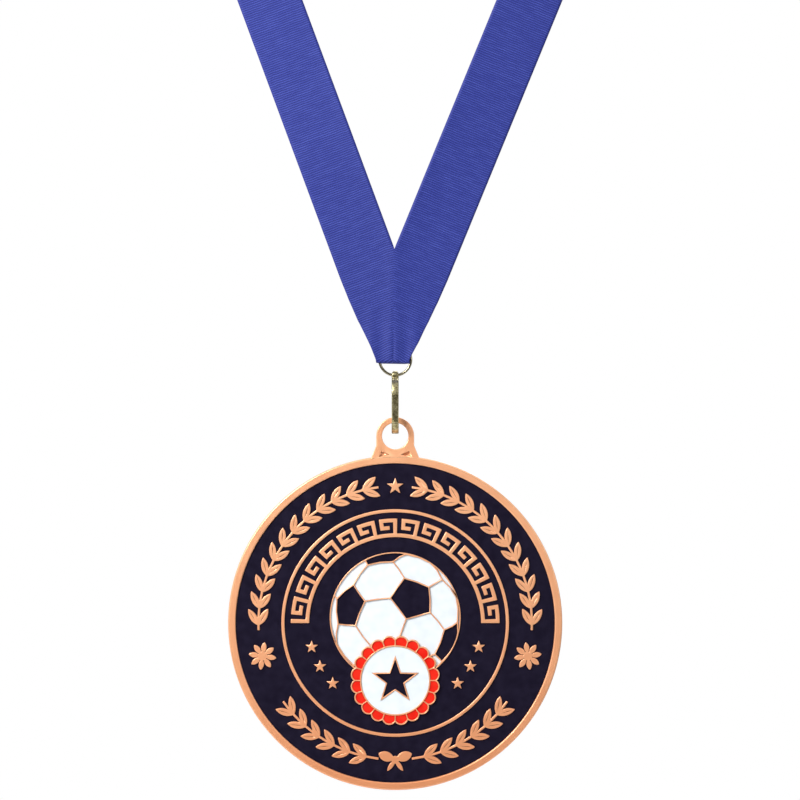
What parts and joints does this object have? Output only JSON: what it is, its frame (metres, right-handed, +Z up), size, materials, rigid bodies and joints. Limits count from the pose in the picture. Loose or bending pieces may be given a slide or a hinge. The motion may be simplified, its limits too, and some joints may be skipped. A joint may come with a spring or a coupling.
{
  "type": "tournament medal on a neck ribbon",
  "caption": "Large round copper-coloured medal with soft-enamel football design, hung by a snap hook and ring from a blue neck ribbon.",
  "frame": {"origin": "middle of the ribbon's inner face at the nape, where the loop hangs on a neck", "axes": "+Z up along the hanging pendant, -Y towards the front of the medal, +X to the viewer's right"},
  "size_m": [0.18, 0.0937, 0.4641],
  "materials": {
    "grosgrain": "royal-blue ribbed grosgrain",
    "ring_wire": "plated steel wire",
    "clip_metal": "antique brass plating",
    "copper": "polished light copper plating",
    "dark_enamel": "navy-black soft enamel",
    "white_enamel": "cool white soft enamel",
    "red_enamel": "bright red soft enamel"
  },
  "bodies": {
    "root": {"ribbon": "grosgrain", "jump_ring": "ring_wire"},
    "clip": {"clip_hook": "clip_metal", "clip_pin": "clip_metal"},
    "gate": {"clip_gate": "clip_metal"},
    "medal": {"medal_casting": "copper", "band_enamel": "dark_enamel", "key_enamel": "dark_enamel", "ball_white_enamel": "white_enamel", "ball_black_enamel": "dark_enamel", "badge_red_enamel": "red_enamel", "badge_white_enamel": "white_enamel", "badge_star_enamel": "dark_enamel"}
  },
  "joints": [
    {"name": "clip_swing", "type": "hinge", "parent": "root", "child": "clip", "pos_m": [-0.00426, -0.07968, -0.3049], "axis": [1, 0, 0], "range_deg": [-75, 75]},
    {"name": "gate_press", "type": "hinge", "parent": "clip", "child": "gate", "pos_m": [-0.00426, -0.08508, -0.3103], "axis": [1, 0, 0], "range_deg": [0, 14], "stiffness_Nm_per_rad": 0.02},
    {"name": "medal_swing", "type": "hinge", "parent": "clip", "child": "medal", "pos_m": [-0.00426, -0.07968, -0.32371], "axis": [0, 1, 0], "range_deg": [-75, 75]}
  ]
}
